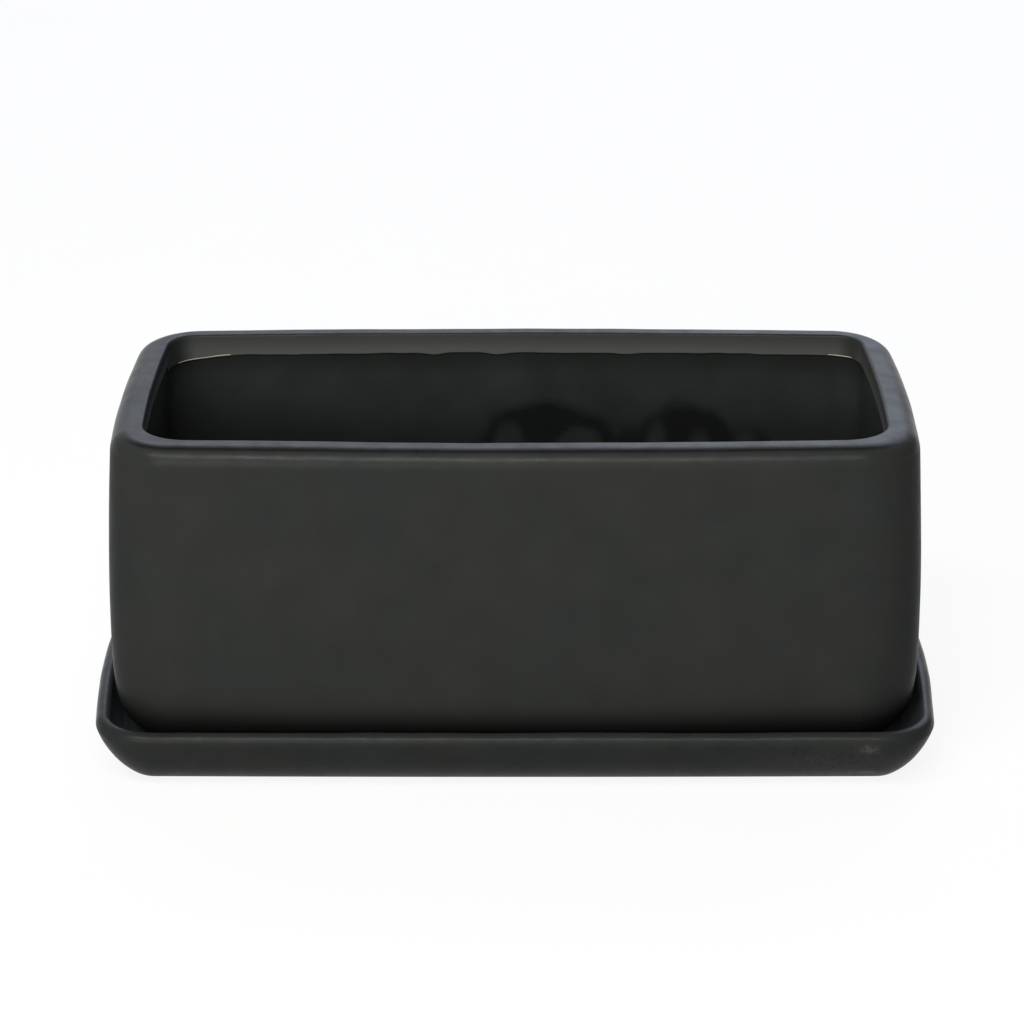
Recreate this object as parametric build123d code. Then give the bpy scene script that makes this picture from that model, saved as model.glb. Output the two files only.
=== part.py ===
"""Indoor herb planter: a slip-cast rectangular pot that stands in its own flared saucer.

Millimetres, +Z up, +X along the length, front at -Y. The origin is in the middle of the
surface that the planter stands on.
"""

import os
from math import atan2, degrees, sqrt

from build123d import *

# Pot outline at its widest, seen from above
pot_length = 260.0
pot_depth = 130.0
pot_corner = 23.5
pot_side_bow = 3.7
pot_end_bow = 2.7

# Pot wall, cut across: a tall, nearly flat arc above the belly, a tighter one below, and a rim that
# is widely rounded outside and has a narrow bevel inside
pot_height = 103.8
belly_height = 29.2
rim_inset = 2.65
foot_inset = 4.1
pot_wall = 10.5
pot_floor = 9.0
rim_round = 0.68 * pot_wall
rim_bevel = 0.12 * pot_wall
foot_round = 0.7 * pot_corner

# Pot cavity: its walls lean in to the rim and its corners turn more gently than the outside
cavity_corner = 17.5
cavity_round = 0.48 * cavity_corner

# Pot underside: a dry foot ring round a shallow recess, with an arched notch at each end for water
pot_ring_width = 9.0
pot_recess = 2.2
notch_width = 18.0
drain_diameter = 12.0
drain_flare = 1.3
drain_spacing = 0.5 * pot_length

# Saucer outline at its lip: the pot's outline plus a margin, with straighter long sides
end_margin = 6.3
side_margin = 6.6
saucer_corner = 19.4
saucer_side_bow = 0.8
saucer_end_bow = 4.6

# Saucer wall, cut across: one arc from the foot to a lip that is shaped as the pot's rim is
saucer_height = 19.5
flank_radius = 28.9
flank_lift = 4.3
saucer_wall = 5.6
saucer_floor = 5.8
lip_round = 0.6 * saucer_wall
lip_bevel = 0.13 * saucer_wall
tray_round = 6.0

# Saucer underside and the clear pads stuck into its recess
saucer_ring_width = 7.0
saucer_recess = 1.6
recess_corner = 8.0
recess_draft = 12.0
pad_diameter = 10.0
pad_stand = 0.6
pad_bevel = 0.4
pad_inset = 11.0

tray_floor = saucer_recess + saucer_floor
pot_seat = pad_stand + tray_floor


def bow_radius(reach, bow):
    """Radius of an arc that falls away by bow at a distance of reach from its crown."""
    return (reach**2 + bow**2) / (2 * bow)


def bearing(hub, point):
    """Direction from hub to point, in degrees."""
    return degrees(atan2(point[1] - hub[1], point[0] - hub[0]))


def centre_at(hub, reach, height):
    """Centre, at the given height and outward of hub, of a rounding that lies reach from hub."""
    return (hub[0] + sqrt(reach**2 - (height - hub[1]) ** 2), height)


def arc(hub, radius, begin, end):
    """Arc about hub from one bearing to another."""
    return CenterArc(hub, radius, begin, end - begin)


def plan_arcs(length, depth, corner, side_radius, end_radius):
    """The eight tangent arcs of an outline with bowed sides: x, y, radius, start and sweep."""
    side_y = depth / 2 - side_radius
    end_x = length / 2 - end_radius
    apart = end_x**2 + side_y**2
    inner_side = side_radius - corner
    inner_end = end_radius - corner
    along = (apart + inner_side**2 - inner_end**2) / (2 * apart)
    across = sqrt(inner_side**2 / apart - along**2)
    corner_x = along * end_x - across * side_y
    corner_y = side_y - along * side_y - across * end_x
    end_turn = bearing((end_x, 0), (corner_x, corner_y))
    side_turn = bearing((0, side_y), (corner_x, corner_y))
    corner_turn = side_turn - end_turn
    half = [
        (end_x, 0, end_radius, -end_turn, 2 * end_turn),
        (corner_x, corner_y, corner, end_turn, corner_turn),
        (0, side_y, side_radius, side_turn, 180 - 2 * side_turn),
        (-corner_x, corner_y, corner, 180 - side_turn, corner_turn),
    ]
    return half + [(-x, -y, radius, start + 180, sweep) for x, y, radius, start, sweep in half]


def outline_face(arcs, offset=0.0):
    """Flat face inside the outline, drawn in by a negative offset."""
    edges = [CenterArc((x, y), radius + offset, start, sweep) for x, y, radius, start, sweep in arcs]
    return make_face(edges)


def carried_round(arcs, section, core, height):
    """A wall section carried round the outline, each arc turning it about its own upright axis, and
    the room inside the offset core filled up to the height."""
    solid = extrude(outline_face(arcs, core), height)
    for x, y, radius, start, sweep in arcs:
        upright = Axis((x, y, 0), (0, 0, 1))
        stood = Pos(x, y, 0) * Rot(0, 0, start) * Rot(90, 0, 0) * Pos(radius, 0, 0) * section
        solid += revolve(stood, upright, sweep)
    return solid


# Pot: outside
upper_radius = bow_radius(pot_height - belly_height, rim_inset)
lower_radius = bow_radius(belly_height, foot_inset)
upper = (-upper_radius, belly_height)
lower = (-lower_radius, belly_height)
rim = centre_at(upper, upper_radius - rim_round, pot_height - rim_round)
rim_turn = bearing(upper, rim)
heel = centre_at(lower, lower_radius - foot_round, foot_round)
heel_turn = bearing(lower, heel)

pot_section = make_face(
    [
        arc(heel, foot_round, -90, heel_turn),
        arc(lower, lower_radius, heel_turn, 0),
        arc(upper, upper_radius, 0, rim_turn),
        arc(rim, rim_round, rim_turn, 90),
        Line((rim[0], pot_height), (heel[0], pot_height)),
        Line((heel[0], pot_height), (heel[0], 0)),
    ]
)
side_radius = bow_radius(pot_length / 2, pot_side_bow)
end_radius = bow_radius(pot_depth / 2, pot_end_bow)
pot_arcs = plan_arcs(pot_length, pot_depth, pot_corner, side_radius, end_radius)
pot = carried_round(pot_arcs, pot_section, heel[0], pot_height)

# Pot: cavity, cut on past the rim along its bevel
bevel_foot = pot_height - pot_floor - rim_bevel
cavity_top = bevel_foot + 2 * rim_bevel
cavity_section = make_face(
    [
        arc((-cavity_round, cavity_round), cavity_round, -90, 0),
        Line((0, cavity_round), (-rim_inset, bevel_foot)),
        Line((-rim_inset, bevel_foot), (2 * rim_bevel - rim_inset, cavity_top)),
        Line((2 * rim_bevel - rim_inset, cavity_top), (-cavity_round, cavity_top)),
        Line((-cavity_round, cavity_top), (-cavity_round, 0)),
    ]
)
cavity_arcs = plan_arcs(
    pot_length - 2 * pot_wall,
    pot_depth - 2 * pot_wall,
    cavity_corner,
    side_radius - pot_wall,
    end_radius - pot_wall,
)
cavity = carried_round(cavity_arcs, cavity_section, -cavity_round, cavity_top)
pot -= Pos(0, 0, pot_floor) * cavity

# Pot: recess under the floor, a notch through each end of the foot ring and two drain holes
pot_recess_inset = 2 * (pot_ring_width - heel[0])
pot_recess_arcs = plan_arcs(
    pot_length - pot_recess_inset,
    pot_depth - pot_recess_inset,
    recess_corner,
    side_radius - pot_recess_inset / 2,
    end_radius - pot_recess_inset / 2,
)
pot -= extrude(outline_face(pot_recess_arcs), pot_recess, taper=recess_draft)
notch_radius = bow_radius(notch_width / 2, pot_recess)
pot -= Pos(0, 0, pot_recess - notch_radius) * Rot(0, 90, 0) * Cylinder(notch_radius, pot_length)
for x in (-drain_spacing / 2, drain_spacing / 2):
    pot -= Pos(x, 0, pot_floor / 2) * Cylinder(drain_diameter / 2, pot_floor)
    flare = Cone(drain_diameter / 2, drain_diameter / 2 + drain_flare, drain_flare)
    pot -= Pos(x, 0, pot_floor - drain_flare / 2) * flare
pot = Pos(0, 0, pot_seat) * pot

# Saucer: flared wall and floor
lip = (-lip_round, saucer_height - lip_round)
flank_height = saucer_height + flank_lift
flank_reach = sqrt((flank_radius - lip_round) ** 2 - (flank_height - lip[1]) ** 2)
flank = (lip[0] - flank_reach, flank_height)
lip_turn = bearing(flank, lip)
hollow_radius = flank_radius - saucer_wall
brink = centre_at(flank, hollow_radius, saucer_height - lip_bevel)
edge = centre_at(flank, flank_radius, 0)
tray = centre_at(flank, hollow_radius - tray_round, tray_floor + tray_round)
tray_turn = bearing(flank, tray)

saucer_section = make_face(
    [
        Line((tray[0], 0), edge),
        arc(flank, flank_radius, bearing(flank, edge), lip_turn),
        arc(lip, lip_round, lip_turn, 90),
        Line((lip[0], saucer_height), (brink[0] + lip_bevel, saucer_height)),
        Line((brink[0] + lip_bevel, saucer_height), brink),
        arc(flank, hollow_radius, bearing(flank, brink), tray_turn),
        arc(tray, tray_round, tray_turn, -90),
        Line((tray[0], tray_floor), (tray[0], 0)),
    ]
)
saucer_length = pot_length + 2 * end_margin
saucer_depth = pot_depth + 2 * side_margin
lip_side_radius = bow_radius(saucer_length / 2, saucer_side_bow)
lip_end_radius = bow_radius(saucer_depth / 2, saucer_end_bow)
saucer_arcs = plan_arcs(saucer_length, saucer_depth, saucer_corner, lip_side_radius, lip_end_radius)
saucer = carried_round(saucer_arcs, saucer_section, tray[0], tray_floor)

# Saucer: recess inside its dry foot ring
saucer_recess_inset = 2 * (saucer_ring_width - edge[0])
recess_length = saucer_length - saucer_recess_inset
recess_depth = saucer_depth - saucer_recess_inset
saucer_recess_arcs = plan_arcs(
    recess_length,
    recess_depth,
    recess_corner,
    lip_side_radius - saucer_recess_inset / 2,
    lip_end_radius - saucer_recess_inset / 2,
)
saucer -= extrude(outline_face(saucer_recess_arcs), saucer_recess, taper=recess_draft)
saucer = Pos(0, 0, pad_stand) * saucer

# Clear stick-on pads, one near each corner of the recess, standing just below the foot ring
pad_height = saucer_recess + pad_stand
pad = Pos(0, 0, pad_height / 2) * Cylinder(pad_diameter / 2, pad_height)
pad = chamfer(pad.edges().group_by(Axis.Z)[0], pad_bevel)
pad_spots = GridLocations(recess_length - 2 * pad_inset, recess_depth - 2 * pad_inset, 2, 2)
foot_pads = Compound(children=[spot * pad for spot in pad_spots])

os.makedirs("parts", exist_ok=True)
export_step(pot, "parts/pot.step")
export_step(saucer, "parts/saucer.step")
export_step(foot_pads, "parts/foot_pads.step")
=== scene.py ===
import math

import bpy
import numpy as np
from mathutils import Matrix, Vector


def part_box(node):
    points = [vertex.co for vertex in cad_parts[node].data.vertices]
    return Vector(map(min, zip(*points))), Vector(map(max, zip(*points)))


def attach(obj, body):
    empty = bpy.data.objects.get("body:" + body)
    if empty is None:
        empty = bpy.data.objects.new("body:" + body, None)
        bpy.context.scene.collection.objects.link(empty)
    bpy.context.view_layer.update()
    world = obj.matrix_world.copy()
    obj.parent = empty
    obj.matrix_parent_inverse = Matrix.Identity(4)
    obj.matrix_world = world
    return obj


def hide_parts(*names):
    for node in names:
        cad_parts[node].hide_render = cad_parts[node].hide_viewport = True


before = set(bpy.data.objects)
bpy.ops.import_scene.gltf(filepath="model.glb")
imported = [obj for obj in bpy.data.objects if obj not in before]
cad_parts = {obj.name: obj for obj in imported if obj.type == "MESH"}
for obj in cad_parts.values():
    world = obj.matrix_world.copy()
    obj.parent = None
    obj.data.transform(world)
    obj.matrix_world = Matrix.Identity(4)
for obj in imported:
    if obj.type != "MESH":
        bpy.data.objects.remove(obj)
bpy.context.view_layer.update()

# Pot
# A trough slip-cast in cream stoneware, with bowed walls and a thick rim. Matte black glaze covers the
# outside and laps over the rim, and a glossy one that was poured in lines it. It stands loose in its saucer.
MM = 0.001
pot_low, pot_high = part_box("pot")
pot_length, pot_depth, pot_height = (pot_high - pot_low) / MM
pot_base = pot_low.z / MM

# The pot's outline, seen from above, is eight arcs that run smoothly into each other. The back corners of
# its cavity turn more tightly than the front ones.
pot_corner = 23.5
pot_side_bow = 3.7
pot_end_bow = 2.7
pot_wall = 10.5
cavity_corner = 17.5
cavity_back_corner = 11.5
end_steps, corner_steps, side_steps = 56, 22, 132


def bow_radius(reach, bow):
    """Radius of an arc that falls away by bow at a distance of reach from its crown."""
    return (reach**2 + bow**2) / (2 * bow)


def bearing(hub, point):
    """Direction from hub to point, in radians."""
    return math.atan2(point[1] - hub[1], point[0] - hub[0])


def corner_hub(corner, side_radius, end_radius, side_y, end_x):
    """Centre of a corner's arc that touches the arcs of a side and an end, with the turns where it does."""
    apart = end_x**2 + side_y**2
    inner_side = side_radius - corner
    inner_end = end_radius - corner
    along = (apart + inner_side**2 - inner_end**2) / (2 * apart)
    across = math.sqrt(inner_side**2 / apart - along**2)
    x = along * end_x - across * side_y
    y = side_y - along * side_y - across * end_x
    return x, y, bearing((end_x, 0), (x, y)), bearing((0, side_y), (x, y))


def outline(size, bows, corners, inset=0):
    """Points along an outline of eight tangent arcs: arc centre, radius and outward direction of each.
    The bows are those of the sides and the ends, and the corners the radii at the back and in front."""
    side_radius = bow_radius(size[0] / 2, bows[0]) - inset
    end_radius = bow_radius(size[1] / 2, bows[1]) - inset
    side_y = size[1] / 2 - inset - side_radius
    end_x = size[0] / 2 - inset - end_radius
    points = []
    for side, corner, other in ((1, *corners), (-1, *corners[::-1])):
        x, y, end_turn, side_turn = corner_hub(corner, side_radius, end_radius, side_y, end_x)
        begin_turn = -corner_hub(other, side_radius, end_radius, side_y, end_x)[2]
        turns = [begin_turn, end_turn, side_turn, math.pi - side_turn, math.pi - end_turn]
        hubs = [(end_x, 0, end_radius, end_steps), (x, y, corner, corner_steps)]
        hubs += [(0, side_y, side_radius, side_steps), (-x, y, corner, corner_steps)]
        for (hub_x, hub_y, radius, steps), begin, end in zip(hubs, turns, turns[1:]):
            for turn in np.linspace(begin, end, steps, endpoint=False):
                outward = (side * math.cos(turn), side * math.sin(turn))
                points.append((side * hub_x, side * hub_y, radius, *outward))
    return np.array(points)


def ring(path, offset, height):
    """Ring of points that follows the outline at an offset and a height, either one for all or one each."""
    x, y, radius, east, north = path.T
    reach = radius + offset
    return np.column_stack([x + reach * east, y + reach * north, np.broadcast_to(height, len(path))])


pot_size = (pot_length, pot_depth)
pot_bows = (pot_side_bow, pot_end_bow)
pot_path = outline(pot_size, pot_bows, (pot_corner, pot_corner))
cavity_path = outline(pot_size, pot_bows, (cavity_back_corner, cavity_corner), pot_wall)

# The pot's wall, cut across, is a tall, nearly flat arc above the belly, a tighter one below and a widely
# rounded rim. Inside, a straight wall leans in from the coved floor. Heights are above the pot's foot.
belly_height = 29.2
rim_inset = 2.65
foot_inset = 4.1
pot_floor = 9.0
rim_round = 0.68 * pot_wall
rim_bevel = 0.12 * pot_wall
rim_edge = 0.14 * pot_wall
rim_flat = 0.2
foot_round = 0.7 * pot_corner
cavity_round = 0.48 * cavity_corner
collar_depth = 7.3


def centre_at(hub, reach, height):
    """Centre, outward of hub and at the given height, of a rounding that lies reach from hub."""
    return hub[0] + math.sqrt(reach**2 - (height - hub[1]) ** 2), height


upper_radius = bow_radius(pot_height - belly_height, rim_inset)
lower_radius = bow_radius(belly_height, foot_inset)
upper = (-upper_radius, belly_height)
lower = (-lower_radius, belly_height)
rim = centre_at(upper, upper_radius - rim_round, pot_height - rim_round)
rim_turn = bearing(upper, rim)
heel = centre_at(lower, lower_radius - foot_round, foot_round)
heel_turn = bearing(lower, heel)
cove = (-cavity_round, pot_floor + cavity_round)
lean = rim_inset / (pot_height - rim_bevel - cove[1])
lean_turn = math.atan(lean)
inward = (-math.cos(lean_turn), -math.sin(lean_turn))
collar_height = pot_height - collar_depth


def wall_at(height):
    """Offset of the leaning wall inside the pot from the outline of its cavity."""
    return -lean * (height - cove[1])


def arc_points(hub, radius, begin, end, steps, hollow=False):
    """Points and outward normals of a wall section along an arc, without its last point."""
    turns = np.linspace(begin, end, steps, endpoint=False)
    normals = np.column_stack([np.cos(turns), np.sin(turns)])
    return np.hstack([np.array(hub) + radius * normals, -normals if hollow else normals])


def run_points(begin, end, normal, steps):
    """Points and outward normals of a wall section along a straight run, without its last point."""
    share = np.linspace(0, 1, steps, endpoint=False)[:, None]
    points = np.array(begin) * (1 - share) + np.array(end) * share
    return np.hstack([points, np.broadcast_to(normal, points.shape)])


brink_height = pot_height - rim_edge * (1 - inward[1])
brink = (wall_at(brink_height) - rim_edge * inward[0], pot_height - rim_edge)
mouth_begin = 0.6 * collar_height + 0.4 * brink_height
lining = np.vstack([
    arc_points(cove, cavity_round, -math.pi / 2, 0, steps=12, hollow=True),
    run_points((0, cove[1]), (wall_at(collar_height), collar_height), inward, steps=45),
])
mouth = np.vstack([
    run_points((wall_at(mouth_begin), mouth_begin), (wall_at(brink_height), brink_height), inward, steps=3),
    arc_points(brink, rim_edge, math.pi + lean_turn, math.pi / 2, steps=10),
    (brink[0], pot_height, 0, 1),
])
outside = np.vstack([
    (rim[0] - rim_flat, pot_height, 0, 1),
    arc_points(rim, rim_round, math.pi / 2, rim_turn, steps=20),
    arc_points(upper, upper_radius, rim_turn, 0, steps=26),
    arc_points(lower, lower_radius, 0, heel_turn, steps=6),
    arc_points(heel, foot_round, heel_turn, -math.pi / 2, steps=18),
    (heel[0], 0, 0, -1),
])


def soft_noise(points, wavelength, seed):
    """Smooth values from -1 to 1 at points in mm, in waves of about the given length."""
    wave_count, usual_peak = 9, 4
    rng = np.random.default_rng(seed)
    waves = rng.normal(size=(wave_count, 3))
    waves *= 2 * math.pi / (wavelength * np.linalg.norm(waves, axis=1, keepdims=True))
    phases = rng.uniform(0, 2 * math.pi, wave_count)
    return np.clip(np.sin(points @ waves.T + phases).sum(axis=1) / usual_peak, -1, 1)


def uneven_rings(path, section, shapes):
    """Rings of a section, each point drawn into the wall by the hand-finished unevenness of the surface,
    which grows from the foot up. Each of the shapes has a depth, a wavelength and a seed."""
    full_height = 8
    rings = []
    for offset, height, outward, upward in section:
        even = ring(path, offset, height)
        drawn = sum(depth * (0.5 + 0.5 * soft_noise(even, length, seed)) for depth, length, seed in shapes)
        drawn *= min(1, height / full_height)
        rings.append(ring(path, offset - drawn * outward, height - drawn * upward))
    return rings


# The matte glaze ends inside the mouth in a collar that stands proud of the lining. Its edge is wavy, sags
# at three spots along the back and runs down into the two back corners. The three runs are the lengths over
# which the edge drops into a corner, the lining draws back above its cove, and it takes up the edge's shape.
collar_proud = 0.45
corner_run = 20
draw_back_run = 20
edge_run = 12
lip_line = ring(cavity_path, wall_at(collar_height), collar_height)
back_wall = 0.3 * pot_depth
at_back = lip_line[:, 1] > back_wall
collar_edge = 0.35 * soft_noise(lip_line, wavelength=60, seed=3)
collar_edge += 0.14 * soft_noise(lip_line, wavelength=8, seed=4)
for spot, drop, spread in ((-27, 0.5, 3.0), (-6, 0.7, 3.6), (38, 0.35, 5.0)):
    collar_edge -= drop * at_back * np.exp(-(((lip_line[:, 0] - spot) / spread) ** 2))
for side, begin, drop in ((-1, 94, 2.1), (1, 106, 0.9)):
    collar_edge -= drop * at_back * np.clip((side * lip_line[:, 0] - begin) / corner_run, 0, 1)

pot_rings = []
for offset, height, outward, upward in lining:
    set_back = collar_proud * min(1, max(0, height - cove[1]) / draw_back_run)
    lifted = collar_edge * max(0, 1 - (collar_height - height) / edge_run)
    pot_rings.append(ring(cavity_path, offset - set_back * outward, height + lifted - set_back * upward))
collar_steps = ((collar_proud, 0.0), (0.25, -0.1), (0.05, 0.0), (0.0, 0.2), (0.0, 0.45))
for set_back, rise in collar_steps:
    edge_height = collar_height + collar_edge + rise
    pot_rings.append(ring(cavity_path, wall_at(collar_height) + set_back, edge_height))
waviness = ((0.28, 75, 11), (0.08, 24, 12))
pot_rings += uneven_rings(cavity_path, mouth, waviness) + uneven_rings(pot_path, outside, waviness)

# The pot's underside has a dry foot ring round a shallow glazed recess.
pot_ring_width = 9.0
pot_recess = 2.2
recess_corner = 8.0
recess_draft = math.tan(math.radians(12))


def recess_rings(path, depth):
    """Rings of a recess in an underside: the eased inner edge of its foot ring, then its ceiling."""
    ease_in, ease_up = 0.4, 0.15
    return [ring(path, ease_in, 0), ring(path, 0, ease_up), ring(path, -depth * recess_draft, depth)]


recess_inset = pot_ring_width - heel[0]
recess_path = outline(pot_size, pot_bows, (recess_corner, recess_corner), recess_inset)
pot_rings += recess_rings(recess_path, pot_recess)
collar_at = len(lining)
mouth_at = collar_at + len(collar_steps)
outside_at = mouth_at + len(mouth)
recess_at = outside_at + len(outside)

# A thin cream line, in the bare clay's material, runs along the collar's edge in the two back corners, and
# the foot ring with its eased edge is bare clay. The slots are in the order of the pot's materials.
MATTE, LINING, BARE = 0, 1, 2
cream_line = np.zeros(len(lip_line), dtype=bool)
for begin, end in ((-113.2, -94.5), (107, 113.5)):
    cream_line |= at_back & (lip_line[:, 0] > begin) & (lip_line[:, 0] < end)
pot_slots = [LINING] * (1 + collar_at) + [MATTE] * (recess_at - collar_at - 1)
pot_slots += [BARE, BARE, MATTE, MATTE]
pot_slots[mouth_at - 1] = np.where(cream_line, BARE, MATTE)

# The collar is painted a lighter grey that grows from the rim down to its edge: partly thinner glaze, partly
# painted light for the light it catches. The corners keep the darker glaze as painted shade.
pot_points = np.vstack(pot_rings)
fade = np.linspace(0.8, 0, 8)
corner_shade_share = 0.75
cornering = (2 * cavity_path[:, 3] * cavity_path[:, 4]) ** 2
collar_grey_and_light = np.zeros((len(pot_rings), len(pot_path)))
collar_grey_and_light[collar_at:mouth_at] = 1
collar_grey_and_light[mouth_at : mouth_at + len(fade)] = fade[:, None]
collar_grey_and_light *= 1 - corner_shade_share * cornering


def settled(section):
    """How far the glaze settled on each ring of a section, from 0 on upright faces to 1 on level ones."""
    begin, rise = 0.1, 0.5
    return np.clip((section[:, 3] - begin) / rise, 0, 1)


# Glaze settled thicker, and so glossier, on the faces of the rim that look up.
satin = np.zeros((len(pot_rings), len(pot_path)))
satin[mouth_at:recess_at] = settled(np.vstack([mouth, outside]))[:, None]

# Painted shade: a darker line on the turn of the rim in front, just below the top.
line_upward, line_spread = 0.9, 0.09
front_begin, front_rise = 0.2, 0.6
rim_shade_band = np.clip(1 - np.abs(outside[:, 3] - line_upward) / line_spread, 0, 1)
in_front = np.clip((-pot_path[:, 4] - front_begin) / front_rise, 0, 1)
rim_shade_line = np.zeros((len(pot_rings), len(pot_path)))
rim_shade_line[outside_at:recess_at] = rim_shade_band[:, None] * in_front

# The back wall of the lining has dark humps with lighter domes in them, all on one line. Each is given by its
# middle, half width and rise. Painted shade also darkens it low on the wall, and a painted shadow lies just
# under the collar.
hump_line = 60.0
hump_soft, dome_soft = 4.2, 2.6
dome_share = 0.78
low_top, low_fade, low_shade_share = 84, 22, 0.5
under_collar, collar_shadow_share = 9, 0.5
ripple = 0.05 * soft_noise(pot_points, wavelength=14, seed=31)
ripple += 0.02 * soft_noise(pot_points, wavelength=6, seed=32)


def dome(middle, reach, rise, soft):
    """How far inside a dome each point of the pot lies, from 0 outside to 1 within a soft edge."""
    away = np.hypot((pot_points[:, 0] - middle) / reach, (pot_points[:, 2] - hump_line) / rise)
    return np.clip((1 - away + ripple) * min(reach, rise) / soft, 0, 1)


def eased(share):
    """Share held between 0 and 1, with both ends eased."""
    share = np.clip(share, 0, 1)
    return share * share * (3 - 2 * share)


humps_and_shade = np.zeros(len(pot_points))
for middle, reach, rise, much in (
    (11.3, 29.5, 20.5, 0.92),
    (38.6, 8.5, 15, 0.85),
    (58, 21, 20.3, 0.92),
    (80, 11, 15, 0.8),
    (-21, 9, 9, 0.35),
):
    humps_and_shade = np.maximum(humps_and_shade, much * dome(middle, reach, rise, hump_soft))
# Painted shade low on the back wall.
humps_and_shade = np.maximum(humps_and_shade, low_shade_share * eased((low_top - pot_points[:, 2]) / low_fade))
for middle, reach, rise in ((-2, 6.8, 13.2), (22, 9.4, 10.6), (48.5, 4.6, 15), (63, 5, 11), (79, 5, 12.3)):
    humps_and_shade *= 1 - dome_share * dome(middle, reach, rise, dome_soft)
# Painted shadow just under the collar.
humps_and_shade += collar_shadow_share * eased(1 - (collar_height - pot_points[:, 2]) / under_collar)
humps_and_shade = np.minimum(humps_and_shade, 1)
humps_and_shade *= pot_points[:, 1] > back_wall

# Painted shade: the glaze is painted darker where the heel rolls under, toward the saucer.
heel_shade_top, heel_shade_fade = 21, 11
heel_shade = eased((heel_shade_top - pot_points[:, 2]) / heel_shade_fade)


def skinned_object(name, rings, slots, values=None):
    """Object whose skin joins rings in mm and caps both ends flat. The slots give the material of the
    first cap, of each band between two rings and of the last cap."""
    count = len(rings[0])
    points = np.vstack(rings) * MM
    around = np.arange(count)
    ahead = np.roll(around, -1)
    faces = [around.tolist(), (around[::-1] + (len(rings) - 1) * count).tolist()]
    picked = [slots[0], slots[-1]]
    for step, slot in enumerate(slots[1:-1]):
        first = step * count
        after = first + count
        faces += np.column_stack([first + around, after + around, after + ahead, first + ahead]).tolist()
        picked += np.broadcast_to(slot, count).tolist()
    mesh = bpy.data.meshes.new(name)
    mesh.from_pydata(points.tolist(), [], faces)
    mesh.polygons.foreach_set("material_index", picked)
    for key, per_point in (values or {}).items():
        mesh.attributes.new(key, "FLOAT", "POINT").data.foreach_set("value", np.ravel(per_point))
    made = bpy.data.objects.new(name, mesh)
    bpy.context.scene.collection.objects.link(made)
    return made


pot_values = {
    "dark_humps_and_shade": humps_and_shade,
    "thin_glaze_and_light": collar_grey_and_light,
    "satin_glaze": satin,
    "heel_shade": heel_shade,
    "rim_shade_line": rim_shade_line,
}
raised = np.array([0, 0, pot_base])
pot = skinned_object("pot_stoneware", [points + raised for points in pot_rings], pot_slots, pot_values)

# Two drain holes go through the floor, flared above and eased below, and an arched notch through each end
# of the foot ring lets water and air pass.
drain_diameter = 12.0
drain_flare = 1.3
drain_spacing = 0.5 * pot_length
drain_ease_out, drain_ease_up = 0.5, 0.7
notch_width = 18.0
notch_below_ceiling = 0.06
flare_steps, circle_steps = 9, 64


def cut(body, tool):
    """Takes the tool's shape out of the body's mesh and deletes the tool."""
    boolean = body.modifiers.new("cut", "BOOLEAN")
    boolean.object = tool
    boolean.solver = "EXACT"
    evaluated = body.evaluated_get(bpy.context.evaluated_depsgraph_get())
    mesh = bpy.data.meshes.new_from_object(evaluated)
    body.modifiers.clear()
    body.data = mesh
    bpy.data.objects.remove(tool)


def smooth(body):
    """Smooth shading, with the edges that turn by more than a crisp angle left sharp."""
    crisp_degrees = 40
    body.data.shade_smooth()
    body.data.set_sharp_from_angle(angle=math.radians(crisp_degrees))


circle_turns = np.linspace(0, 2 * math.pi, circle_steps, endpoint=False)
circle = np.column_stack([np.zeros((circle_steps, 3)), np.cos(circle_turns), np.sin(circle_turns)])
hole = drain_diameter / 2
cutter_above, cutter_below = 2, 1
flare = []
for turn in np.linspace(math.pi / 2, 0, flare_steps):
    out, down = 1 - math.cos(turn), 1 - math.sin(turn)
    flare.append((hole + drain_flare * out, pot_floor - drain_flare * down))
drain_profile = [(hole + drain_flare, pot_floor + cutter_above)] + flare
drain_profile += [(hole, pot_recess + drain_ease_up), (hole + drain_ease_out, pot_recess)]
drain_profile += [(hole + drain_ease_out, -cutter_below)]
drain_slots = [LINING] * len(flare) + [BARE] * (len(drain_profile) + 1 - len(flare))
for x in (-drain_spacing / 2, drain_spacing / 2):
    placed = [ring(circle, radius, height + pot_base) + [x, 0, 0] for radius, height in drain_profile]
    cut(pot, skinned_object("drain", placed, drain_slots))

notch_radius = bow_radius(notch_width / 2, pot_recess)
notch_hub = [0, 0, pot_base + pot_recess - notch_below_ceiling - notch_radius]
cutter_past_end, cutter_past_ring = 1, 2
notch_outer = pot_length / 2 + cutter_past_end
notch_inner = pot_length / 2 - recess_inset - cutter_past_ring
for begin, end in ((-notch_outer, -notch_inner), (notch_inner, notch_outer)):
    placed = [ring(circle, notch_radius, x)[:, [2, 0, 1]] + notch_hub for x in (end, begin)]
    cut(pot, skinned_object("notch", placed, [BARE] * 3))
smooth(pot)

# The pot's glazes and clay.
FIRST, SECOND, MIXED = 6, 7, 2  # colour sockets of a mix node: its two inputs and its output


def linear(code):
    """Linear colour, with alpha, from an sRGB hex code."""
    parts = [int(code[at : at + 2], 16) / 255 for at in (1, 3, 5)]
    return [c / 12.92 if c <= 0.04045 else ((c + 0.055) / 1.055) ** 2.4 for c in parts] + [1]


def add_node(tree, kind, settings=None, links=None):
    """Adds a node, sets its inputs and properties, and links sockets to its inputs."""
    node = tree.nodes.new(kind)
    for key, value in (settings or {}).items():
        if isinstance(key, int) or key in node.inputs:
            node.inputs[key].default_value = value
        else:
            setattr(node, key, value)
    for key, socket in (links or {}).items():
        tree.links.new(socket, node.inputs[key])
    return node


def new_material(name):
    """An empty material, its node tree, and the object coordinates to lay patterns in."""
    made = bpy.data.materials.new(name)
    made.use_nodes = True
    tree = made.node_tree
    tree.nodes.clear()
    place = add_node(tree, "ShaderNodeTexCoord").outputs["Object"]
    return made, tree, place


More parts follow.
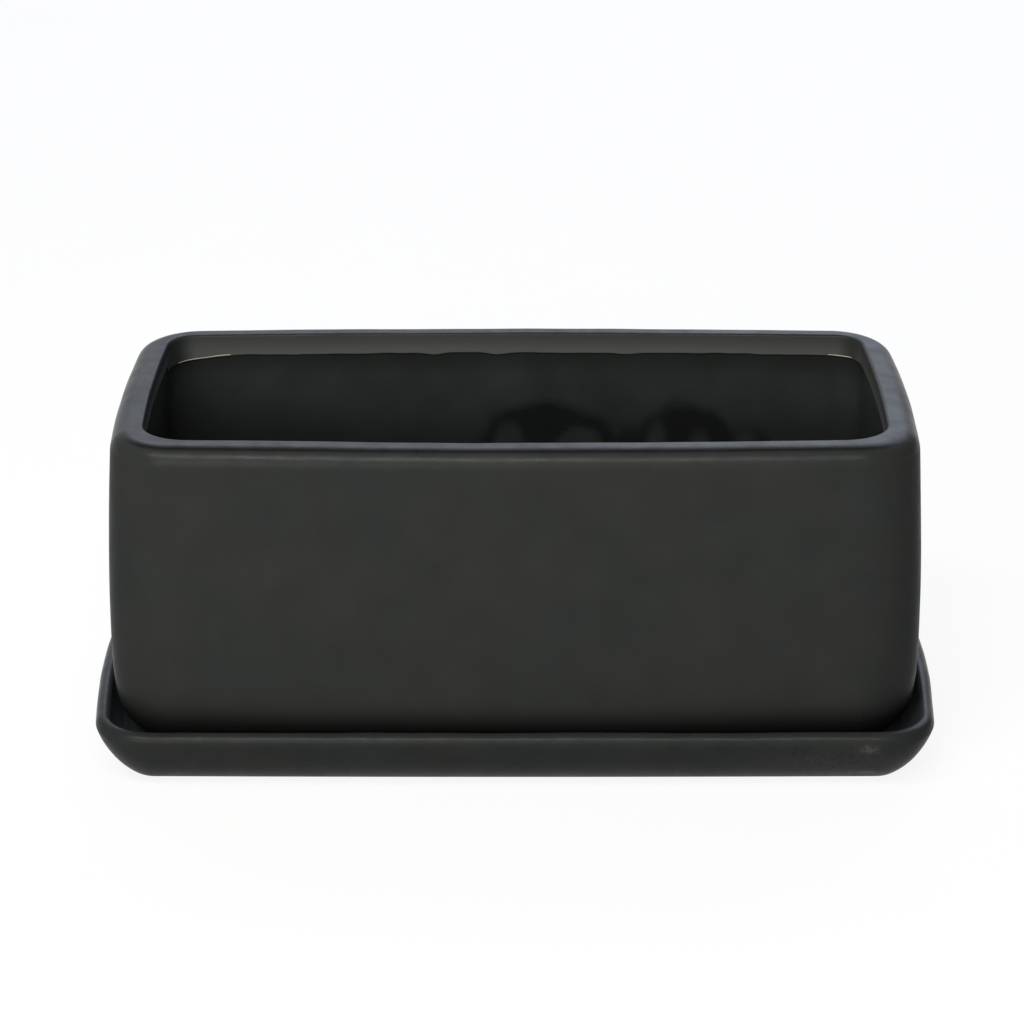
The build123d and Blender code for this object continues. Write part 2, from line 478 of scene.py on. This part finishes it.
def grain(tree, place, size_mm, detail, low, high):
    """Uneven values whose features are about size_mm across, spread from low to high."""
    scale = {"Scale": 1 / (size_mm * MM), "Detail": detail}
    noise = add_node(tree, "ShaderNodeTexNoise", scale, {"Vector": place})
    spread = {"From Min": 0.3, "From Max": 0.7, "To Min": low, "To Max": high}
    return add_node(tree, "ShaderNodeMapRange", spread, {"Value": noise.outputs["Fac"]}).outputs["Result"]


def clouds(tree, place, size_mm, detail, codes):
    """Two shades of one colour in soft clouds about size_mm across."""
    shades = {"data_type": "RGBA", FIRST: linear(codes[0]), SECOND: linear(codes[1])}
    share = grain(tree, place, size_mm, detail, 0, 1)
    return add_node(tree, "ShaderNodeMix", shades, {"Factor": share}).outputs[MIXED]


def laid_over(tree, colour, held, code):
    """Colour with another laid over it, by the share of it that the points of the mesh hold."""
    over = {"data_type": "RGBA", SECOND: linear(code)}
    share = add_node(tree, "ShaderNodeAttribute", {"attribute_name": held}).outputs["Fac"]
    return add_node(tree, "ShaderNodeMix", over, {"Factor": share, FIRST: colour}).outputs[MIXED]


def surface(tree, settings, links):
    """Ends a material in one shader with the given settings and links."""
    shader = add_node(tree, "ShaderNodeBsdfPrincipled", settings, links)
    add_node(tree, "ShaderNodeOutputMaterial", {}, {"Surface": shader.outputs["BSDF"]})


def matte_black_glaze(name, cloud_mm, grit, upright_ior, codes):
    """Satin black glaze: the eye sees a soft charcoal with faint warm and cool clouds, a fine sandy
    tooth where the light grazes it, and a few pale pinhead specks."""
    made, tree, place = new_material(name)
    body = clouds(tree, place, cloud_mm, 3, codes[:2])
    tint = clouds(tree, place, 2.2 * cloud_mm, 2, codes[2:])
    tinting = {"Factor": grain(tree, place, 1.6 * cloud_mm, 2, 0.1, 0.5), FIRST: body, SECOND: tint}
    colour = add_node(tree, "ShaderNodeMix", {"data_type": "RGBA"}, tinting).outputs[MIXED]

    # Fewer than one in three of the cells holds a speck. Its core and its edge are radii in mm.
    speck_spacing, speck_core, speck_edge = 11, 0.132, 0.264
    speck_rarity, speck_strength = 0.72, 0.75
    cells = add_node(tree, "ShaderNodeTexVoronoi", {"Scale": 1 / (speck_spacing * MM)}, {"Vector": place})
    near = {
        "From Min": speck_core / speck_spacing,
        "From Max": speck_edge / speck_spacing,
        "To Min": speck_strength,
        "To Max": 0,
    }
    fleck = add_node(tree, "ShaderNodeMapRange", near, {"Value": cells.outputs["Distance"]}).outputs["Result"]
    chance = add_node(tree, "ShaderNodeSeparateColor", {}, {"Color": cells.outputs["Color"]}).outputs["Red"]
    above = {"operation": "GREATER_THAN", 1: speck_rarity}
    rare = add_node(tree, "ShaderNodeMath", above, {0: chance}).outputs[0]
    specks = add_node(tree, "ShaderNodeMath", {"operation": "MULTIPLY"}, {0: fleck, 1: rare}).outputs[0]
    speck_colour = {"data_type": "RGBA", SECOND: linear("#8f908e")}
    colour = add_node(tree, "ShaderNodeMix", speck_colour, {"Factor": specks, FIRST: colour}).outputs[MIXED]

    # The real tooth is too fine to show in the render, so it is drawn as coarse as it needs to show.
    tooth = grain(tree, place, 0.55, 2, 0, grit)
    peel = grain(tree, place, 4.5, 2, 0, 0.6)
    height = add_node(tree, "ShaderNodeMath", {"operation": "ADD"}, {0: tooth, 1: peel}).outputs[0]
    relief = {"Strength": 0.25, "Distance": 0.12 * MM}
    bump = add_node(tree, "ShaderNodeBump", relief, {"Height": height}).outputs["Normal"]

    # A glaze's IOR is about 1.5. This one's dry skin has far less sheen, with a little more where it settled.
    satin = add_node(tree, "ShaderNodeAttribute", {"attribute_name": "satin_glaze"}).outputs["Fac"]
    uneven = {0: satin, 1: grain(tree, place, 6, 4, 0.7, 1.15)}
    sheen = add_node(tree, "ShaderNodeMath", {"operation": "MULTIPLY"}, uneven).outputs[0]
    iors = {"To Min": upright_ior, "To Max": 1.2}
    ior = add_node(tree, "ShaderNodeMapRange", iors, {"Value": sheen}).outputs["Result"]
    roughness = grain(tree, place, 7, 4, 0.27, 0.36)
    return made, tree, place, {"Base Color": colour, "Normal": bump, "Roughness": roughness, "IOR": ior}


pot_codes = ("#282a28", "#2c2e2c", "#302e2b", "#272a2c")
pot_glaze, tree, place, links = matte_black_glaze(
    "Matte black glaze", cloud_mm=13, grit=0.5, upright_ior=1.05, codes=pot_codes
)
# Laid over the glaze: the collar's lighter grey, partly painted light, then painted shade at the heel and on
# the rim's front turn.
for held, code in (("thin_glaze_and_light", "#4e504e"), ("heel_shade", "#191a19"), ("rim_shade_line", "#111211")):
    links["Base Color"] = laid_over(tree, links["Base Color"], held, code)
surface(tree, {}, links)

# Glossy black lining: wet-looking, near black, greyer where it ran thin, darker in the dark humps on the back
# wall, with painted shade low on it and a painted shadow under the collar.
lining_glaze, tree, place = new_material("Glossy black lining glaze")
ran_thin = clouds(tree, place, 16, 3, ("#272928", "#2d302f"))
waves = grain(tree, place, 9, 2, 0, 1)
bump = add_node(tree, "ShaderNodeBump", {"Strength": 0.3, "Distance": 0.15 * MM}, {"Height": waves})
links = {
    "Base Color": laid_over(tree, ran_thin, "dark_humps_and_shade", "#131514"),
    "Normal": bump.outputs["Normal"],
    "Roughness": grain(tree, place, 5, 3, 0.12, 0.24),
}
surface(tree, {"IOR": 1.5}, links)

# Bare stoneware: dry cream clay with grey-buff clouds and a fine sandy tooth, where no glaze was left.
bare_clay, tree, place = new_material("Bare cream stoneware")
tooth = grain(tree, place, 0.5, 3, 0, 1)
bump = add_node(tree, "ShaderNodeBump", {"Strength": 0.4, "Distance": 0.1 * MM}, {"Height": tooth})
links = {
    "Base Color": clouds(tree, place, 8, 4, ("#cfc4b2", "#b9ad9b")),
    "Normal": bump.outputs["Normal"],
    "Roughness": grain(tree, place, 3, 3, 0.75, 0.9),
}
surface(tree, {"IOR": 1.45}, links)

for material in (pot_glaze, lining_glaze, bare_clay):
    pot.data.materials.append(material)
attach(pot, "pot")
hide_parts("pot")

# Saucer
# A shallow tray cast in the same clay, its wall flaring in one curve from the foot to a round lip, matte
# black all over but for the dry foot ring. The pot stands on its floor; nothing fixes the two together.
saucer_low, saucer_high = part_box("saucer")
saucer_length, saucer_depth, saucer_height = (saucer_high - saucer_low) / MM
saucer_base = saucer_low.z / MM
saucer_corner = 19.4
saucer_side_bow = 0.8
saucer_end_bow = 4.6
flank_radius = 28.9
flank_lift = 4.3
saucer_wall = 5.6
lip_round = 0.6 * saucer_wall
lip_edge = 0.38 * saucer_wall
tray_round = 6.0
edge_round = 0.9
saucer_ring_width = 7.0
saucer_recess = 1.6
tray_floor = pot_base - saucer_base
tray_steps, hollow_steps, brink_steps = 10, 8, 9

lip = (-lip_round, saucer_height - lip_round)
flank_height = saucer_height + flank_lift
flank = (lip[0] - math.sqrt((flank_radius - lip_round) ** 2 - (flank_height - lip[1]) ** 2), flank_height)
lip_turn = bearing(flank, lip)
hollow_radius = flank_radius - saucer_wall
lip_brink = centre_at(flank, hollow_radius + lip_edge, saucer_height - lip_edge)
lip_brink_turn = bearing(flank, lip_brink)
edge = centre_at(flank, flank_radius - edge_round, edge_round)
edge_turn = bearing(flank, edge)
tray = centre_at(flank, hollow_radius - tray_round, tray_floor + tray_round)
tray_turn = bearing(flank, tray)

saucer_size = (saucer_length, saucer_depth)
saucer_bows = (saucer_side_bow, saucer_end_bow)
saucer_path = outline(saucer_size, saucer_bows, (saucer_corner, saucer_corner))
saucer_section = np.vstack([
    arc_points(tray, tray_round, -math.pi / 2, tray_turn, tray_steps, hollow=True),
    arc_points(flank, hollow_radius, tray_turn, lip_brink_turn, hollow_steps, hollow=True),
    arc_points(lip_brink, lip_edge, math.pi + lip_brink_turn, math.pi / 2, brink_steps),
    (lip_brink[0], saucer_height, 0, 1),
    arc_points(lip, lip_round, math.pi / 2, lip_turn, steps=14),
    arc_points(flank, flank_radius, lip_turn, edge_turn, steps=20),
    arc_points(edge, edge_round, edge_turn, -math.pi / 2, steps=5),
    (edge[0], 0, 0, -1),
])
waviness = ((0.3, 52, 21), (0.1, 17, 22))
saucer_rings = [ring(saucer_path, offset, height) for offset, height, *_ in saucer_section[:tray_steps]]
saucer_rings += uneven_rings(saucer_path, saucer_section[tray_steps:], waviness)
recess_inset = saucer_ring_width - centre_at(flank, flank_radius, 0)[0]
recess_path = outline(saucer_size, saucer_bows, (recess_corner, recess_corner), recess_inset)
saucer_rings += recess_rings(recess_path, saucer_recess)
DRY = 1  # the saucer has no lining, so bare clay is its second material
saucer_slots = [MATTE] * len(saucer_section) + [DRY, DRY, MATTE, MATTE]

# Handling left pale dust on the front near the right-hand end: each smudge's place along x and z, spread
# along both, and strength.
saucer_points = np.vstack(saucer_rings)
dust = np.zeros(len(saucer_points))
for x, z, wide, tall, much in ((111, 14.6, 2.6, 1.5, 0.42), (112, 3, 7, 1.4, 0.3), (100, 9, 20, 6, 0.07)):
    spread = ((saucer_points[:, 0] - x) / wide) ** 2 + ((saucer_points[:, 2] - z) / tall) ** 2
    dust = np.maximum(dust, much * np.exp(-spread) * (saucer_points[:, 1] < 0))

# Glaze settled on the faces that look up. The tray is painted lighter as a painted reflection of the bright
# studio, fading out over the inner edge of the lip.
satin = np.zeros((len(saucer_rings), len(saucer_path)))
satin[: len(saucer_section)] = settled(saucer_section)[:, None]
brink_at = tray_steps + hollow_steps
tray_reflection = np.zeros((len(saucer_rings), len(saucer_path)))
tray_reflection[:brink_at] = 1
tray_reflection[brink_at : brink_at + brink_steps] = np.linspace(1, 0, brink_steps)[:, None]

saucer_values = {"handling_dust": dust, "satin_glaze": satin, "tray_painted_reflection": tray_reflection}
raised = np.array([0, 0, saucer_base])
placed = [points + raised for points in saucer_rings]
saucer = skinned_object("saucer_stoneware", placed, saucer_slots, saucer_values)
smooth(saucer)

saucer_codes = ("#232524", "#292b2a", "#292a28", "#232729")
saucer_glaze, tree, place, links = matte_black_glaze(
    "Matte black saucer glaze", cloud_mm=9, grit=1.0, upright_ior=1.08, codes=saucer_codes
)
dusty = add_node(tree, "ShaderNodeAttribute", {"attribute_name": "handling_dust"}).outputs["Fac"]
patches = {0: dusty, 1: grain(tree, place, 1.4, 5, 0, 0.5)}
patchy = add_node(tree, "ShaderNodeMath", {"operation": "MULTIPLY"}, patches).outputs[0]
dust_colour = {"data_type": "RGBA", SECOND: linear("#a3a29d")}
dusted = add_node(tree, "ShaderNodeMix", dust_colour, {"Factor": patchy, FIRST: links["Base Color"]})
# The tray is painted lighter, up to the lip, as a painted reflection.
links["Base Color"] = laid_over(tree, dusted.outputs[MIXED], "tray_painted_reflection", "#35383a")
surface(tree, {}, links)
for material in (saucer_glaze, bare_clay):
    saucer.data.materials.append(material)
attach(saucer, "saucer")
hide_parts("saucer")

# Foot pads
# Four clear silicone bumpers, moulded as low domes and stuck in the saucer's recess, one near each corner,
# so that the clay doesn't scratch the shelf.
pad_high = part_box("foot_pads")[1]
pad_radius = 5.0
pad_skirt = 0.4
pad_round = 2.2
pad_steps = 10
pad_top = pad_high.z / MM
pad_x = pad_high.x / MM - pad_radius
pad_y = pad_high.y / MM - pad_radius
pad_profile = [(pad_radius, pad_top), (pad_radius, pad_top - pad_skirt)]
for turn in np.linspace(0, math.pi / 2, pad_steps):
    radius = pad_radius - pad_round + pad_round * math.cos(turn)
    pad_profile.append((radius, (pad_top - pad_skirt) * (1 - math.sin(turn))))

# Clear silicone: the eye sees a glassy, slightly milky drop with a little dust on it.
clear_silicone, tree, place = new_material("Clear silicone")
specks = grain(tree, place, 0.6, 2, 0, 1)
bump = add_node(tree, "ShaderNodeBump", {"Strength": 0.15, "Distance": 0.05 * MM}, {"Height": specks})
links = {
    "Base Color": clouds(tree, place, 2.5, 3, ("#e9ecea", "#d9dedc")),
    "Normal": bump.outputs["Normal"],
    "Roughness": grain(tree, place, 1.5, 2, 0.15, 0.3),
}
surface(tree, {"IOR": 1.41, "Transmission Weight": 0.85}, links)
corners = [(x, y) for x in (-pad_x, pad_x) for y in (-pad_y, pad_y)]
for number, (x, y) in enumerate(corners, 1):
    placed = [ring(circle, radius, height) + [x, y, 0] for radius, height in pad_profile]
    pad = skinned_object(f"foot_pad_{number}", placed, [0] * (len(pad_profile) + 1))
    smooth(pad)
    pad.data.materials.append(clear_silicone)
    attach(pad, "saucer")
    if number == 1:
        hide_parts("foot_pads")

# Floor and background
# A sheet of white paper laid out flat in a white studio. The camera sees both as almost pure white, with
# a faint shadow on the paper.
floor_reach = 4
floor_corners = [(x * floor_reach, y * floor_reach, 0) for x, y in ((-1, -1), (1, -1), (1, 1), (-1, 1))]
floor_mesh = bpy.data.meshes.new("floor")
floor_mesh.from_pydata(floor_corners, [], [(0, 1, 2, 3)])
floor = bpy.data.objects.new("floor", floor_mesh)
bpy.context.scene.collection.objects.link(floor)

# White paper: flat and bright. To the eye and in reflections, most of its light doesn't depend on the lamps,
# which keeps it near white.
steady_share = 0.88
white_paper, tree, place = new_material("White paper sweep")
paper = clouds(tree, place, 40, 2, ("#f3f3f3", "#f5f5f5"))
paper_lit = add_node(tree, "ShaderNodeBsdfDiffuse", {}, {"Color": paper})
paper_glow = add_node(tree, "ShaderNodeEmission", {"Strength": 1.0, "Color": linear("#ffffff")})
path_kind = add_node(tree, "ShaderNodeLightPath")
seen = path_kind.outputs["Is Camera Ray"]
for other in ("Is Glossy Ray", "Is Transmission Ray"):
    either = {0: seen, 1: path_kind.outputs[other]}
    seen = add_node(tree, "ShaderNodeMath", {"operation": "MAXIMUM"}, either).outputs[0]
share = add_node(tree, "ShaderNodeMath", {"operation": "MULTIPLY", 1: steady_share}, {0: seen})
layers = {0: share.outputs[0], 1: paper_lit.outputs[0], 2: paper_glow.outputs[0]}
mixed = add_node(tree, "ShaderNodeMixShader", {}, layers)
add_node(tree, "ShaderNodeOutputMaterial", {}, {"Surface": mixed.outputs[0]})
floor_mesh.materials.append(white_paper)

# The studio that lights the glaze and shows in it: cool white behind, greyer in front, and dimmer overhead
# and to both sides. The limits are parts of a direction that is 1 long.
world = bpy.data.worlds.new("studio")
world.use_nodes = True
bpy.context.scene.world = world
tree = world.node_tree
tree.nodes.clear()
direction = add_node(tree, "ShaderNodeTexCoord").outputs["Generated"]
split = add_node(tree, "ShaderNodeSeparateXYZ", {}, {"Vector": direction})
soft = {"interpolation_type": "SMOOTHSTEP"}
ceiling = {**soft, "From Min": 0.6, "From Max": 0.88, "To Min": 1.0, "To Max": 0.12}
lit = add_node(tree, "ShaderNodeMapRange", ceiling, {"Value": split.outputs["Z"]}).outputs["Result"]
for side, wing_light in ((1, 0.05), (-1, 0.3)):
    wing = {**soft, "From Min": 0.2 * side, "From Max": 0.75 * side, "To Min": 1, "To Max": wing_light}
    dimmed = add_node(tree, "ShaderNodeMapRange", wing, {"Value": split.outputs["X"]}).outputs["Result"]
    lit = add_node(tree, "ShaderNodeMath", {"operation": "MULTIPLY"}, {0: lit, 1: dimmed}).outputs[0]
rear = {**soft, "From Min": -0.1, "From Max": 0.6}
rearward = add_node(tree, "ShaderNodeMapRange", rear, {"Value": split.outputs["Y"]}).outputs["Result"]
tones = {"data_type": "RGBA", FIRST: linear("#9c9c9c"), SECOND: linear("#eff4ff")}
tone = add_node(tree, "ShaderNodeMix", tones, {"Factor": rearward}).outputs[MIXED]
shown = add_node(tree, "ShaderNodeLightPath").outputs["Is Camera Ray"]
lit = add_node(tree, "ShaderNodeMath", {"operation": "MAXIMUM"}, {0: lit, 1: shown}).outputs[0]
white = {"data_type": "RGBA", SECOND: linear("#ffffff")}
tone = add_node(tree, "ShaderNodeMix", white, {"Factor": shown, FIRST: tone}).outputs[MIXED]
backdrop = add_node(tree, "ShaderNodeBackground", {}, {"Color": tone, "Strength": lit})
add_node(tree, "ShaderNodeOutputWorld", {}, {"Surface": backdrop.outputs[0]})

# Lamps
# Five softboxes: a long one high in front, a fill below it, a small warm one on the left, and two cool ones
# behind that light the top of the rim. Each has its place and size in metres, its power and its colour.
aim = Vector((0, 0, 0.05))
for name, spot, wide, tall, power, code in (
    ("top softbox", (-0.3, -0.75, 1.33), 1.4, 0.24, 18.0, "#fffefb"),
    ("front fill", (-0.4, -1.2, 0.6), 0.8, 0.6, 8.0, "#fbfffd"),
    ("left softbox", (-0.9, -1.3, 0.5), 0.35, 0.6, 2.8, "#ffe0c2"),
    ("back softbox", (0.3, 1.6, 1.6), 2.4, 1.0, 26.0, "#dfe7ff"),
    ("right kicker", (0.45, 1.6, 0.75), 0.8, 0.4, 1.4, "#d5e2ff"),
):
    lamp = bpy.data.lights.new(name, "AREA")
    lamp.shape = "RECTANGLE"
    lamp.size, lamp.size_y = wide, tall
    lamp.energy = power
    lamp.color = linear(code)[:3]
    lamp_object = bpy.data.objects.new(name, lamp)
    lamp_object.location = spot
    lamp_object.visible_camera = False
    lamp_object.rotation_euler = (aim - Vector(spot)).to_track_quat("-Z", "Y").to_euler()
    bpy.context.scene.collection.objects.link(lamp_object)

# Camera
# A long lens in front of the planter and a little above it, level from side to side.
camera_degrees_down = 21.84
camera = bpy.data.cameras.new("camera")
camera.lens = 115.6
camera_object = bpy.data.objects.new("camera", camera)
camera_object.location = (-0.98 * MM, -1000.4 * MM, 468.3 * MM)
camera_object.rotation_euler = (math.radians(90 - camera_degrees_down), 0, 0)
bpy.context.scene.collection.objects.link(camera_object)
bpy.context.scene.camera = camera_object
bpy.context.scene.view_settings.view_transform = "Standard"
